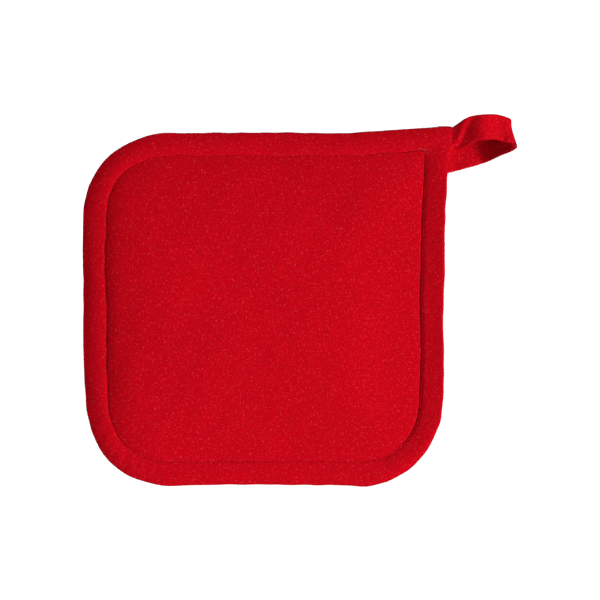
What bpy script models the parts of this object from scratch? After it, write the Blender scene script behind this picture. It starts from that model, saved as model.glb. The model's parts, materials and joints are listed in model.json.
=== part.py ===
"""A square padded pot holder with a bound edge and a hanging loop.

It lies flat on its back: +X is right, +Y is up the pad, +Z points out of its front face, and the origin is
the middle of the back face. Two cotton panels hold two layers of wadding. A folded tape binds the edge, and
the tape's tail leaves the one square corner as a loop that swings on a hinge beside the pad.
Sizes are in metres.
"""

import math

import bmesh
import bpy
from mathutils import Vector

# The pad, measured over its binding.
PAD_WIDTH = 0.190
PAD_HEIGHT = 0.185
CORNER_RADIUS = 0.044
LOOP_CORNER_RADIUS = 0.005
SHARPEST_RADIUS = 0.0006
EAR_LENGTH = 0.051  # how much of the top edge the loop's pull draws up
EAR_RISE = 0.0034

# The layers, in the middle of the pad and pressed flat under the binding.
CLOTH_THICKNESS = 0.0006
WADDING_THICKNESS = 0.0042
WADDING_PRESSED = 0.0006
SLOPE_WIDTH = 0.016  # from the seam to where the pad has its full thickness
GAP = 0.0003  # between one piece and the next

# The binding, its seam and the loop's tape.
BINDING_WIDTH = 0.012
BINDING_PLY = 0.0009
THREAD_THICKNESS = 0.00035
TAPE_WIDTH = 0.012
TAPE_THICKNESS = 0.0012
TAPE_BEVEL = 0.0003

# The hanging loop, measured from its hinge beside the pad's edge.
LOOP_REACH = 0.0338
EYE_HEIGHT = 0.0095  # inside the bight
LOOP_CLEARANCE = 0.0008  # from the table up to the lower strand
LOWER_RAMP = 0.6  # share of the lower strand that climbs to the hinge
LOOP_SWAY = 0.0100  # how far the crest swings up the pad from a line between the roots
SWAY_EARLY = 0.6  # under 1, the swing comes nearer the upper root
BIGHT_TILT = 0.29  # sideways lean of the fold at the loop's end
EDGE_STITCH_INSET = 0.0018
EDGE_STITCH_START = 0.12  # share of the loop that has no stitching, at each root

# The loop's sewn end behind the binding.
TAB_LENGTH = 0.0080
TAB_SETBACK = 0.0030
TAB_STITCH_INSET = 0.0020
TAB_CLEARANCE = 0.00025  # from the table up to its stitches

# How finely round shapes are drawn.
CORNER_STEPS = 10
LOOP_CORNER_STEPS = 2
SIDE_STEPS = 5
SLOPE_STEPS = 4
FOLD_STEPS = 6
RUN_STEPS = 12
BIGHT_STEPS = 8
THREAD_SIDES = 6

# What follows from the sizes above: the stack of layers, the seam, the edge and the hinge.
LAYERS = (
    # name, thickness under the binding, thickness in the middle
    ("back_panel", CLOTH_THICKNESS, CLOTH_THICKNESS),
    ("back_wadding", WADDING_PRESSED, WADDING_THICKNESS),
    ("front_wadding", WADDING_PRESSED, WADDING_THICKNESS),
    ("front_panel", CLOTH_THICKNESS, CLOTH_THICKNESS),
)
PRESSED_STACK = sum(layer[1] for layer in LAYERS) + GAP * (len(LAYERS) - 1)
BINDING_HALF = PRESSED_STACK / 2 + GAP + BINDING_PLY
TAB_TOP = TAB_CLEARANCE + THREAD_THICKNESS + GAP + TAPE_THICKNESS
EDGE_Z = TAB_TOP + GAP + BINDING_HALF  # the middle height of the pad's pressed edge
CUT_INSET = BINDING_HALF + GAP
SEAM_INSET = BINDING_WIDTH + GAP + THREAD_THICKNESS / 2
SLOPE_START = BINDING_WIDTH + 2 * GAP + THREAD_THICKNESS
HINGE_X = PAD_WIDTH / 2 + GAP + TAPE_THICKNESS / 2
UPPER_ROOT_Y = PAD_HEIGHT / 2 + EAR_RISE - TAPE_WIDTH / 2
LOWER_ROOT_Y = UPPER_ROOT_Y - TAPE_WIDTH - GAP


def clear_scene():
    for obj in list(bpy.data.objects):
        bpy.data.objects.remove(obj, do_unlink=True)


def mix(start, end, share):
    return start + (end - start) * share


def smooth(share):
    """0 to 1 with a level start and end."""
    share = min(max(share, 0.0), 1.0)
    return share * share * (3 - 2 * share)


def material(name, colour, roughness):
    made = bpy.data.materials.new(name)
    made.use_nodes = True
    shader = made.node_tree.nodes["Principled BSDF"]
    shader.inputs["Base Color"].default_value = (*colour, 1.0)
    shader.inputs["Roughness"].default_value = roughness
    shader.inputs["Metallic"].default_value = 0.0
    return made


def cotton(name):
    return material(name, (0.55, 0.004, 0.014), 0.9)


def wadding(name):
    return material(name, (0.80, 0.78, 0.74), 1.0)


def thread(name):
    return material(name, (0.50, 0.005, 0.016), 0.7)


def skin(name, rings, surface, ring_of_rings=False):
    """A solid whose skin runs through rings of points, capped at both ends or closed on itself."""
    mesh = bpy.data.meshes.new(name)
    sketch = bmesh.new()
    loops = [[sketch.verts.new(point) for point in ring] for ring in rings]
    pairs = list(zip(loops, loops[1:]))
    if ring_of_rings:
        pairs.append((loops[-1], loops[0]))
    else:
        sketch.faces.new(loops[0])
        sketch.faces.new(loops[-1])
    for here, there in pairs:
        for corner in range(len(here)):
            after = (corner + 1) % len(here)
            sketch.faces.new((here[corner], here[after], there[after], there[corner]))
    bmesh.ops.recalc_face_normals(sketch, faces=sketch.faces)
    sketch.to_mesh(mesh)
    sketch.free()
    mesh.shade_smooth()
    mesh.set_sharp_from_angle(angle=math.radians(50))
    made = bpy.data.objects.new(name, mesh)
    made.data.materials.append(surface)
    bpy.context.collection.objects.link(made)
    return made


def drawn_up(x, y):
    """The loop's pull lifts the top edge towards its corner."""
    along = smooth((x - (PAD_WIDTH / 2 - EAR_LENGTH)) / EAR_LENGTH)
    up = smooth(y / (PAD_HEIGHT / 2))
    return y + EAR_RISE * along * up


def outline(inset, z):
    """The pad's outline drawn in by inset, counter-clockwise from the foot of the loop's corner."""
    corners = []
    for turn, (right, up) in enumerate(((1, 1), (-1, 1), (-1, -1), (1, -1))):
        full = LOOP_CORNER_RADIUS if turn == 0 else CORNER_RADIUS
        steps = LOOP_CORNER_STEPS if turn == 0 else CORNER_STEPS
        radius = max(full - inset, SHARPEST_RADIUS)
        centre_x = right * (PAD_WIDTH / 2 - inset - radius)
        centre_y = up * (PAD_HEIGHT / 2 - inset - radius)
        angles = [math.pi / 2 * (turn + step / steps) for step in range(steps + 1)]
        corners.append([(centre_x + radius * math.cos(a), centre_y + radius * math.sin(a)) for a in angles])
    points = []
    for corner, following in zip(corners, corners[1:] + corners[:1]):
        points += corner
        (x0, y0), (x1, y1) = corner[-1], following[0]
        for step in range(1, SIDE_STEPS):
            share = step / SIDE_STEPS
            points.append((mix(x0, x1, share), mix(y0, y1, share)))
    return [Vector((x, drawn_up(x, y), z)) for x, y in points]


def slope():
    """(inset, fullness) from the layers' cut edge to where the pad has its full thickness."""
    steps = [(CUT_INSET, 0.0), (SLOPE_START, 0.0)]
    for step in range(1, SLOPE_STEPS + 1):
        share = step / SLOPE_STEPS
        steps.append((SLOPE_START + SLOPE_WIDTH * share, math.sin(math.pi / 2 * share)))
    return steps


def layer_levels(index):
    """The layer's (pressed, full) heights, at its underside and at its upper side."""
    pressed, full = EDGE_Z - PRESSED_STACK / 2, 0.0
    for _, thin, thick in LAYERS[:index]:
        pressed += thin + GAP
        full += thick + GAP
    _, thin, thick = LAYERS[index]
    return (pressed, full), (pressed + thin, full + thick)


def layer(index, surface):
    """A panel or a layer of wadding, flat in the middle and pressed thin under the binding."""
    under, upper = layer_levels(index)
    rings = [outline(inset, mix(*upper, fullness)) for inset, fullness in reversed(slope())]
    rings += [outline(inset, mix(*under, fullness)) for inset, fullness in slope()]
    return skin(LAYERS[index][0], rings, surface)


def fold(radius, steps):
    """(inset, height) round the binding's outer fold, from its back to its front."""
    angles = [math.pi * (step / steps - 0.5) for step in range(steps + 1)]
    return [(BINDING_HALF - radius * math.cos(a), radius * math.sin(a)) for a in angles]


def edge_binding():
    """Tape folded round the pad's edge, as a U that runs all the way round."""
    inner_half = BINDING_HALF - BINDING_PLY
    bevel = BINDING_PLY / 3
    profile = fold(BINDING_HALF, FOLD_STEPS)
    profile += [(BINDING_WIDTH - bevel, BINDING_HALF), (BINDING_WIDTH, BINDING_HALF - bevel)]
    profile += [(BINDING_WIDTH, inner_half)]
    profile += reversed(fold(inner_half, FOLD_STEPS - 2))
    profile += [(BINDING_WIDTH, -inner_half), (BINDING_WIDTH, bevel - BINDING_HALF)]
    profile += [(BINDING_WIDTH - bevel, -BINDING_HALF)]
    rings = [outline(inset, EDGE_Z + height) for inset, height in profile]
    return skin("edge_binding", rings, cotton("binding_cotton"), ring_of_rings=True)


def thread_ring(name, centres, outward):
    """A closed run of thread through centres, where outward gives the way out of the ring at each."""
    sides = [2 * math.pi * side / THREAD_SIDES for side in range(THREAD_SIDES)]
    radius = THREAD_THICKNESS / 2
    rings = []
    for centre, out in zip(centres, outward):
        rings.append([centre + radius * (math.cos(a) * out + math.sin(a) * Vector((0, 0, 1))) for a in sides])
    return skin(name, rings, thread(name), ring_of_rings=True)


def seam_thread(name, side):
    """The binding seam's thread, in the ditch between the tape and the panel; side is 1 on the front."""
    height = EDGE_Z + side * (PRESSED_STACK / 2 + GAP + THREAD_THICKNESS / 2)
    centres = outline(SEAM_INSET, height)
    outer = outline(SEAM_INSET - THREAD_THICKNESS, height)
    return thread_ring(name, centres, [(far - near).normalized() for near, far in zip(centres, outer)])


def loop_route():
    """Points down the middle of the loop's tape, from the upper root round the bight to the lower root."""
    bight = (EYE_HEIGHT + TAPE_THICKNESS) / 2
    low = LOOP_CLEARANCE + TAPE_THICKNESS / 2
    reach = LOOP_REACH - TAPE_THICKNESS / 2 - bight
    places = []
    for step in range(RUN_STEPS):
        share = step / RUN_STEPS
        places.append((reach * share, mix(EDGE_Z, low + 2 * bight, smooth(share))))
    for step in range(BIGHT_STEPS):
        angle = math.pi * (0.5 - step / BIGHT_STEPS)
        places.append((reach + bight * math.cos(angle), low + bight * (1 + math.sin(angle))))
    for step in range(RUN_STEPS, -1, -1):
        share = step / RUN_STEPS
        places.append((reach * share, mix(EDGE_Z, low, smooth(share / LOWER_RAMP))))
    route = []
    for index, (out, z) in enumerate(places):
        share = index / (len(places) - 1)
        sway = LOOP_SWAY * math.sin(math.pi * share**SWAY_EARLY) ** 2
        route.append(Vector((HINGE_X + out, mix(UPPER_ROOT_Y, LOWER_ROOT_Y, share) + sway, z)))
    return route


def loop_frames():
    """(middle, along, across, outward) at each point of the loop's route."""
    route = loop_route()
    frames = []
    for index, middle in enumerate(route):
        if index in (0, len(route) - 1):
            along = Vector((1, 0, 0)) if index == 0 else Vector((-1, 0, 0))
        else:
            along = (route[index + 1] - route[index - 1]).normalized()
        lean = BIGHT_TILT * math.sin(math.pi * index / (len(route) - 1))
        across = Vector((lean, -1, 0))
        across = (across - across.dot(along) * along).normalized()
        frames.append((middle, along, across, across.cross(along)))
    return frames


def tape_section(middle, across, outward, fullness=1.0):
    """The tape's cross-section, a flat bar with bevelled edges."""
    half_width = TAPE_WIDTH / 2
    half = TAPE_THICKNESS / 2 * fullness
    bevel = TAPE_BEVEL * fullness
    corners = []
    for side, turn in ((1, 1), (-1, -1)):
        corners += [
            (side * half_width, -turn * (half - bevel)),
            (side * half_width, turn * (half - bevel)),
            (side * (half_width - bevel), turn * half),
            (-side * (half_width - bevel), turn * half),
        ]
    return [middle + a * across + b * outward for a, b in corners]


def hanging_loop():
    """The tape's tail, bent round into a loop, with both roots rounded about the hinge."""
    frames = loop_frames()
    rings = [tape_section(middle, across, outward) for middle, _, across, outward in frames]
    for end in (0, -1):
        middle, along, across, outward = frames[end]
        back = -along if end == 0 else along
        nose = []
        for degrees in (30, 55, 75):
            angle = math.radians(degrees)
            shift = back * TAPE_THICKNESS / 2 * math.sin(angle)
            nose.append(tape_section(middle + shift, across, outward, math.cos(angle)))
        rings = nose[::-1] + rings if end == 0 else rings + nose
    return skin("hanging_loop", rings, cotton("loop_cotton"))


def loop_thread(name, side):
    """The thread that closes the folded tail along its open edge; side is 1 on the outer face."""
    frames = loop_frames()
    start = round(EDGE_STITCH_START * len(frames))
    place = TAPE_WIDTH / 2 - EDGE_STITCH_INSET
    height = side * (TAPE_THICKNESS / 2 + GAP + THREAD_THICKNESS / 2)
    rings = []
    for middle, _, across, outward in frames[start : len(frames) - start]:
        centre = middle + place * across + height * outward
        angles = [2 * math.pi * step / THREAD_SIDES for step in range(THREAD_SIDES)]
        radius = THREAD_THICKNESS / 2
        rings.append([centre + radius * (math.cos(a) * across + math.sin(a) * outward) for a in angles])
    return skin(name, rings, thread(name))


def loop_end_tab():
    """The tail's end, flat behind the binding and in line with the loop's lower root."""
    outer = PAD_WIDTH / 2 - TAB_SETBACK
    across = Vector((0, -1, 0))
    outward = Vector((0, 0, 1))
    rings = []
    for x in (outer, outer - TAB_LENGTH):
        middle = Vector((x, LOWER_ROOT_Y, TAB_TOP - TAPE_THICKNESS / 2))
        rings.append(tape_section(middle, across, outward))
    return skin("loop_end_tab", rings, cotton("tab_cotton"))


def tab_thread():
    """A square of stitches on the back of the loop's sewn end."""
    middle_x = PAD_WIDTH / 2 - TAB_SETBACK - TAB_LENGTH / 2
    half_x = TAB_LENGTH / 2 - TAB_STITCH_INSET
    half_y = TAPE_WIDTH / 2 - TAB_STITCH_INSET
    z = TAB_CLEARANCE + THREAD_THICKNESS / 2
    corners = ((1, 1), (-1, 1), (-1, -1), (1, -1))
    centres = [Vector((middle_x + right * half_x, LOWER_ROOT_Y + up * half_y, z)) for right, up in corners]
    outward = [Vector((right, up, 0)).normalized() for right, up in corners]
    return thread_ring("tab_thread", centres, outward)


def hinge_marker(pieces):
    """An empty on the loop's hinge, carrying the pieces that swing with it."""
    hinge = bpy.data.objects.new("loop_hinge", None)
    hinge.location = (HINGE_X, (UPPER_ROOT_Y + LOWER_ROOT_Y) / 2, EDGE_Z)
    hinge.empty_display_size = TAPE_WIDTH
    bpy.context.collection.objects.link(hinge)
    bpy.context.view_layer.update()
    for piece in pieces:
        piece.parent = hinge
        piece.matrix_parent_inverse = hinge.matrix_world.inverted()


def main():
    clear_scene()
    for index, (name, _, _) in enumerate(LAYERS):
        layer(index, cotton(name) if name.endswith("panel") else wadding(name))
    edge_binding()
    seam_thread("binding_needle_thread", 1)
    seam_thread("binding_bobbin_thread", -1)
    loop_end_tab()
    tab_thread()
    threads = [loop_thread("loop_needle_thread", 1), loop_thread("loop_bobbin_thread", -1)]
    hinge_marker([hanging_loop(), *threads])


main()
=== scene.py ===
"""The looks of a square padded pot holder with a bound edge and a hanging loop.

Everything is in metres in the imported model's frame: the pad lies flat on its back, +X is right, +Y is up the
pad and +Z points out of its front face. Cloth follows the pad's plan, its inset from the outline, and a
simulated cushion that gives the padding its swell.
"""

import json
import math

import bpy
import numpy as np
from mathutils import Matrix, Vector
from mathutils.bvhtree import BVHTree


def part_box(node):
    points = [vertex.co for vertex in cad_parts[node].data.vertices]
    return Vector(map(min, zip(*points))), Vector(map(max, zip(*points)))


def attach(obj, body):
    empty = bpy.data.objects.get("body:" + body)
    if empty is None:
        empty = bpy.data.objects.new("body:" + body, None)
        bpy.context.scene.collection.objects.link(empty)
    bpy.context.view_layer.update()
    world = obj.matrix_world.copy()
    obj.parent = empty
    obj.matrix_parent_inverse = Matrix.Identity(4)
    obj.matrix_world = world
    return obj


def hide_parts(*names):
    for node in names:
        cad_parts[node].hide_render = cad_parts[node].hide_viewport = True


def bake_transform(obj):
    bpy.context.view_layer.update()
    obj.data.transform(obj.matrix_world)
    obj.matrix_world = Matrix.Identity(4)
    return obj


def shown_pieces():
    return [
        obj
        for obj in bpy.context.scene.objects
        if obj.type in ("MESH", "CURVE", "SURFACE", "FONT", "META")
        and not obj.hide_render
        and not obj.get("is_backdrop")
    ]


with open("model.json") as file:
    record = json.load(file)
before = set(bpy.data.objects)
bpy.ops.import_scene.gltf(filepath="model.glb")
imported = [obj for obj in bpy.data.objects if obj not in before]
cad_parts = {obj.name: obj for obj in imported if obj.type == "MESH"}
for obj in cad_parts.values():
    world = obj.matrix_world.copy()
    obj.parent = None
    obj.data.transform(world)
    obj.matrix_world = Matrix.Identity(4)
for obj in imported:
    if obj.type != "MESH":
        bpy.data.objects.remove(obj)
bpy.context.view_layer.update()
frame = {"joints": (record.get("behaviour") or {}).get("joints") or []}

MM = 0.001


def mm(*values):
    """Lengths given in millimetres, in metres."""
    return tuple(value * MM for value in values)


# Four values in a row are for the pad's left, right, top and bottom.
# Unevenness is given as (height, wavelength, seed).

# The pad's plan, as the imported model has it. The ear lifts the top, so the height is read from the foot.
edge_low, edge_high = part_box("edge_binding")
PAD_WIDTH = edge_high.x - edge_low.x
PAD_HEIGHT = -2 * edge_low.y
EDGE_Z = (edge_low.z + edge_high.z) / 2
CORNER_RADIUS = 44 * MM
LOOP_CORNER_RADIUS = 5 * MM
SHARPEST_RADIUS = 0.6 * MM  # what is left of the loop corner's radius far inside it
EAR_LENGTH = 51 * MM  # the top edge rises over this length towards the loop's corner
EAR_RISE = 3.4 * MM
BINDING_WIDTH = 12 * MM
SEAM_INSET = 12.3 * MM  # where the panels dive under the binding
CUT_INSET = 3.15 * MM  # the layers' cut edges, inside the binding

# The pad's layers.
CLOTH = 0.6 * MM
LAYER_GAP = 0.3 * MM
PRESSED_HALF = 1.65 * MM  # from the middle of the pressed edge to a cloth's outer face
FULL_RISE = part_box("front_panel")[1].z - EDGE_Z - PRESSED_HALF  # and from there to the pad's flat middle

# How finely the outline is followed.
CORNER_STEPS = 44
LOOP_CORNER_STEPS = 4
SIDE_STEPS = (88, 60, 64, 86)  # top, left, bottom, right


# ---- small helpers


def mix(start, end, share):
    return start + (end - start) * share


def smooth(share):
    """0 to 1 with a level start and end."""
    share = np.clip(share, 0.0, 1.0)
    return share * share * (3 - 2 * share)


def ripple(x, y, wavelength, seed, waves=9):
    """Smooth, seeded unevenness of about -1 to 1, made of waves that run every way."""
    chance = np.random.default_rng(seed)
    total = 0.0
    for _ in range(waves):
        heading = chance.uniform(0, 2 * math.pi)
        length = wavelength * chance.uniform(0.7, 1.5)
        phase = chance.uniform(0, 2 * math.pi)
        distance = x * math.cos(heading) + y * math.sin(heading)
        total = total + np.sin(2 * math.pi * distance / length + phase)
    return total / math.sqrt(waves)


def uneven(x, y, *kinds):
    """The sum of ripples, each given as (height, wavelength, seed)."""
    return sum(height * ripple(x, y, wavelength, seed) for height, wavelength, seed in kinds)


def reached(path):
    """The distance along a polyline at each of its points."""
    return np.concatenate([[0.0], np.cumsum(np.linalg.norm(np.diff(path, axis=0), axis=1))])


def unit(vectors):
    """Each vector scaled to length 1."""
    return vectors / np.linalg.norm(vectors, axis=-1, keepdims=True)


def grid_faces(rows, columns, wrap_rows=False, wrap_columns=False):
    """Quads over a grid of points, with each corner's (row, column) before wrapping."""
    row, column = np.meshgrid(
        np.arange(rows - (not wrap_rows)), np.arange(columns - (not wrap_columns)), indexing="ij"
    )
    corner_rows = np.stack([row, row, row + 1, row + 1], -1).reshape(-1, 4)
    corner_columns = np.stack([column, column + 1, column + 1, column], -1).reshape(-1, 4)
    faces = (corner_rows % rows) * columns + corner_columns % columns
    return faces, corner_rows, corner_columns


def placed(name, data):
    """A new object in the scene."""
    made = bpy.data.objects.new(name, data)
    bpy.context.scene.collection.objects.link(made)
    return made


def piece(name, points, faces, uvs, surface):
    """A mesh object whose UVs are lengths of cloth in metres, with all faces turned outwards."""
    mesh = bpy.data.meshes.new(name)
    corners = [list(map(int, face)) for face in faces]
    mesh.from_pydata(np.asarray(points, float).reshape(-1, 3).tolist(), [], corners)
    layer = mesh.uv_layers.new(name="cloth")
    layer.data.foreach_set("uv", np.asarray(uvs, np.float32).ravel())
    made = placed(name, mesh)
    mesh.materials.append(surface)
    mesh.shade_smooth()
    if signed_volume(mesh) < 0:
        mesh.flip_normals()
    return made


def capped_tube(rows):
    """Faces over closed rows of points, with both ends capped."""
    count = rows.shape[1]
    faces, _, _ = grid_faces(len(rows), count, wrap_columns=True)
    last = (len(rows) - 1) * count
    return faces.tolist() + [list(range(count))[::-1], list(range(last, last + count))]


def signed_volume(mesh):
    """A closed mesh's volume, negative if its faces point inwards."""
    mesh.calc_loop_triangles()
    points = np.zeros(len(mesh.vertices) * 3)
    mesh.vertices.foreach_get("co", points)
    corners = np.zeros(len(mesh.loop_triangles) * 3, np.int32)
    mesh.loop_triangles.foreach_get("vertices", corners)
    a, b, c = points.reshape(-1, 3)[corners.reshape(-1, 3)].transpose(1, 0, 2)
    return float(np.einsum("ij,ij->i", a, np.cross(b, c)).sum()) / 6


# ---- the pad's plan


def outline(inset):
    """The pad's plan drawn in by inset, counter-clockwise from the foot of the loop's corner."""
    corners = []
    for turn, (right, up) in enumerate(((1, 1), (-1, 1), (-1, -1), (1, -1))):
        full = LOOP_CORNER_RADIUS if turn == 0 else CORNER_RADIUS
        steps = LOOP_CORNER_STEPS if turn == 0 else CORNER_STEPS
        radius = max(full - inset, SHARPEST_RADIUS)
        centre_x = right * (PAD_WIDTH / 2 - inset - radius)
        centre_y = up * (PAD_HEIGHT / 2 - inset - radius)
        angles = math.pi / 2 * (turn + np.arange(steps + 1) / steps)
        corners.append(np.stack([centre_x + radius * np.cos(angles), centre_y + radius * np.sin(angles)], -1))
    points = []
    for corner, following, steps in zip(corners, corners[1:] + corners[:1], SIDE_STEPS):
        shares = (np.arange(1, steps) / steps)[:, None]
        points += [corner, mix(corner[-1], following[0], shares)]
    return np.concatenate(points)


def inset_at(x, y):
    """How far inside the outline a point of the plan is."""
    radius = np.where((x > 0) & (y > 0), LOOP_CORNER_RADIUS, CORNER_RADIUS)
    beyond_x = np.abs(x) - PAD_WIDTH / 2 + radius
    beyond_y = np.abs(y) - PAD_HEIGHT / 2 + radius
    outside = np.hypot(np.maximum(beyond_x, 0), np.maximum(beyond_y, 0))
    return radius - outside - np.minimum(np.maximum(beyond_x, beyond_y), 0)


# How the outline wanders, and the places where sewing and handling have pulled the plan, each as
# (x, y, reach, shift in x, shift in y).
WANDER_X = ((0.26 * MM, 38 * MM, 11), (0.14 * MM, 14 * MM, 12))
WANDER_Y = ((0.26 * MM, 38 * MM, 13), (0.14 * MM, 14 * MM, 14))
PULLS = (
    mm(-95, -60, 34, 1.6, 0),
    mm(88, -66, 26, -1.5, 0.6),
    mm(82, 62, 24, 0.9, 0),
    mm(-10, -92, 60, 0, 0.8),
    mm(97, 95, 15, 6, 0),
    mm(95, 0, 60, -1, 0),
)


def settled(plan):
    """Where points of the plan lie once sewing, the loop's pull and handling have moved them."""
    x, y = plan[..., 0], plan[..., 1]
    along = smooth((x - (PAD_WIDTH / 2 - EAR_LENGTH)) / EAR_LENGTH)
    up = smooth(y / (PAD_HEIGHT / 2))
    moved_x = x + uneven(x, y, *WANDER_X)
    moved_y = y + uneven(x, y, *WANDER_Y) + EAR_RISE * along * up
    for pull_x, pull_y, reach, shift_x, shift_y in PULLS:
        weight = np.exp(-((x - pull_x) ** 2 + (y - pull_y) ** 2) / reach**2)
        moved_x = moved_x + shift_x * weight
        moved_y = moved_y + shift_y * weight
    return np.stack([moved_x, moved_y], -1)


def lifted(plan, z):
    """Points of the plan, settled, at height z."""
    xy = settled(plan)
    return np.concatenate([xy, np.broadcast_to(z, xy.shape[:-1])[..., None]], -1)


def by_facing(right, up, sides):
    """A value for each way the outline faces, from the values of the four sides."""
    on_left, on_right, on_top, on_bottom = sides
    across = np.where(right < 0, on_left, on_right)
    along = np.where(up > 0, on_top, on_bottom)
    return across * right**2 + along * up**2


def by_place(x, y, sides, sharpness=4.0):
    """A value for each point of the pad, mostly that of the nearest of the four sides."""
    pulls = [-x * 2 / PAD_WIDTH, x * 2 / PAD_WIDTH, y * 2 / PAD_HEIGHT, -y * 2 / PAD_HEIGHT]
    weights = [np.exp(sharpness * pull) for pull in pulls]
    return sum(w * v for w, v in zip(weights, sides)) / sum(weights)


# ---- the simulated cushion

CORE_SHARES = (0.02, 0.2, 0.4, 0.6, 0.8, 0.92, 1.0)  # its rings, as shares of the seam's outline
CORE_HALF = 4.5 * MM  # half its thickness
CORE_PRESSED = 0.3  # the share of its thickness that is left at the seam
CORE_TAPER = 0.15  # the outer share that thins to it
VOXEL = 5 * MM
PRESSURE = 4
SWELL_FRAMES = 20
SWELL_CAP = 1.6 * MM
GRID_STEP = 1 * MM
GRID_HALF = 92 * MM
GRID_BLUR = 4  # cells


def core_mesh():
    """The stuffing as one closed slab, a little smaller than the finished pad, pressed thin at the seam."""
    middle = outline(SEAM_INSET)
    top, bottom = [], []
    for share in CORE_SHARES:
        ring = middle * share
        half = CORE_HALF * mix(1.0, CORE_PRESSED, smooth((share - (1 - CORE_TAPER)) / CORE_TAPER))
        top.append(np.c_[ring, np.full(len(ring), EDGE_Z + half)])
        bottom.append(np.c_[ring, np.full(len(ring), EDGE_Z - half)])
    points = np.array(top + bottom[::-1])
    mesh = bpy.data.meshes.new("core")
    mesh.from_pydata(points.reshape(-1, 3).tolist(), [], capped_tube(points))
    if signed_volume(mesh) < 0:
        mesh.flip_normals()
    return mesh


def with_modifiers(made):
    """The object's mesh with its modifiers applied."""
    graph = bpy.context.evaluated_depsgraph_get()
    return bpy.data.meshes.new_from_object(made.evaluated_get(graph))


def places(mesh):
    """A mesh's points as an array."""
    points = np.zeros(len(mesh.vertices) * 3)
    mesh.vertices.foreach_get("co", points)
    return points.reshape(-1, 3)


def inflate(made):
    """Blows the cushion up with Blender's cloth, held at its seam, and caps how far it moves."""
    start = places(made.data)
    held = made.vertex_groups.new(name="held")
    near_seam = np.nonzero(inset_at(start[:, 0], start[:, 1]) < SEAM_INSET + VOXEL)[0]
    held.add([int(i) for i in near_seam], 1.0, "REPLACE")
    cloth = made.modifiers.new("swell", "CLOTH")
    settings = cloth.settings
    settings.quality = 6
    settings.mass = 0.25
    settings.tension_stiffness = 12
    settings.compression_stiffness = 12
    settings.shear_stiffness = 5
    settings.bending_stiffness = 0.4
    settings.use_pressure = True
    settings.uniform_pressure_force = PRESSURE
    settings.vertex_group_mass = "held"
    settings.effector_weights.gravity = 0
    cloth.collision_settings.use_collision = False
    for step in range(1, SWELL_FRAMES + 1):
        bpy.context.scene.frame_set(step)
    end = places(with_modifiers(made))
    made.modifiers.remove(cloth)
    bpy.context.scene.frame_set(1)
    shift = end - start
    length = np.linalg.norm(shift, axis=1, keepdims=True)
    shift *= np.minimum(1.0, SWELL_CAP / np.maximum(length, 1e-9))
    made.data.vertices.foreach_set("co", (start + shift).ravel())
    made.data.update()


def swell_grids():
    """The simulated cushion's thickness above and below the seam, on square grids over the plan, as shares of
    its thickness in the middle."""
    made = placed("core", core_mesh())
    remesh = made.modifiers.new("remesh", "REMESH")
    remesh.mode = "VOXEL"
    remesh.voxel_size = VOXEL
    made.data = with_modifiers(made)
    made.modifiers.clear()
    inflate(made)
    made.modifiers.new("finer", "SUBSURF").levels = 1
    tree = BVHTree.FromObject(made, bpy.context.evaluated_depsgraph_get())
    ticks = np.arange(-GRID_HALF, GRID_HALF + GRID_STEP / 2, GRID_STEP)
    grids = []
    for side in (1, -1):
        grid = np.zeros((len(ticks), len(ticks)))
        for row, y in enumerate(ticks):
            for column, x in enumerate(ticks):
                hit = tree.ray_cast(Vector((x, y, side)), Vector((0, 0, -side)))[0]
                grid[row, column] = abs(hit.z - EDGE_Z) if hit else 0.0
        grid = blurred(grid, GRID_BLUR)
        grids.append(grid / grid[len(ticks) // 2, len(ticks) // 2])
    bpy.data.objects.remove(made)
    return grids


def blurred(grid, reach):
    """The grid softened by a bell of that many cells."""
    edge = 3 * reach
    bell = np.exp(-((np.arange(-edge, edge + 1) / reach) ** 2) / 2)
    bell /= bell.sum()

    def soften(line):
        return np.convolve(np.pad(line, edge, "edge"), bell, "valid")

    for axis in (0, 1):
        grid = np.apply_along_axis(soften, axis, grid)
    return grid


def looked_up(grid, x, y):
    """The grid's value at points of the plan, between its four nearest cells."""
    column = np.clip((x + GRID_HALF) / GRID_STEP, 0, grid.shape[1] - 1.001)
    row = np.clip((y + GRID_HALF) / GRID_STEP, 0, grid.shape[0] - 1.001)
    c, r = column.astype(int), row.astype(int)
    fc, fr = column - c, row - r
    near = mix(grid[r, c], grid[r, c + 1], fc)
    far = mix(grid[r + 1, c], grid[r + 1, c + 1], fc)
    return mix(near, far, fr)


swell_front, swell_back = swell_grids()


# ---- heights of the pad's two faces

FRONT_LOFT = 1.45  # the soft front's rise, as a multiple of the CAD solid's
FRONT_LEAN = 0.4 * MM  # how much higher it stands on its right than on its left
RIDGE_REACH = 8 * MM  # how far round a point its distances in are averaged
RIDGE_START = 2 * MM  # how far in from the seam a ridge is first taken away
RIDGE_FADE = 9 * MM

# How the front leaves the seam: a small step up, then a slope that turns level over the ease.
STEP = mm(0.3, 1.2, 0.8, 1.0)
STEP_START = mm(12.1, 12.5, 11.6, 11.4)
STEP_WIDTH = mm(1.0, 0.6, 0.4, 0.35)
STEP_SHARPNESS = 6.0
EASE = mm(7.3, 44, 18, 19)
EASE_HURRY = 0.35  # how much sooner the slope ends than a plain exponential would
SWELL_FROM_SEAM = 28 * MM  # the simulated swell counts from about here inwards

FRONT_LUMPS = ((0.14 * MM, 46 * MM, 21), (0.035 * MM, 13 * MM, 22), (0.010 * MM, 5 * MM, 23))
SLACK_WRINKLES = (0.16 * MM, 15 * MM, 24)
SLACK_REACH = 30 * MM
BACK_LUMPS = (0.08 * MM, 30 * MM, 31)
BACK_LOFT = 1.04  # the back's rise, as a multiple of the CAD solid's
BACK_EASE = 7 * MM
TABLE_GAP = 0.02 * MM
BACK_CUPPING = 0.05 * MM  # the flat back lifts this much towards the seam
MIDDLE_LUMPS = (0.2 * MM, 60 * MM, 51)
MIDDLE_EASE = 20 * MM

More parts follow.
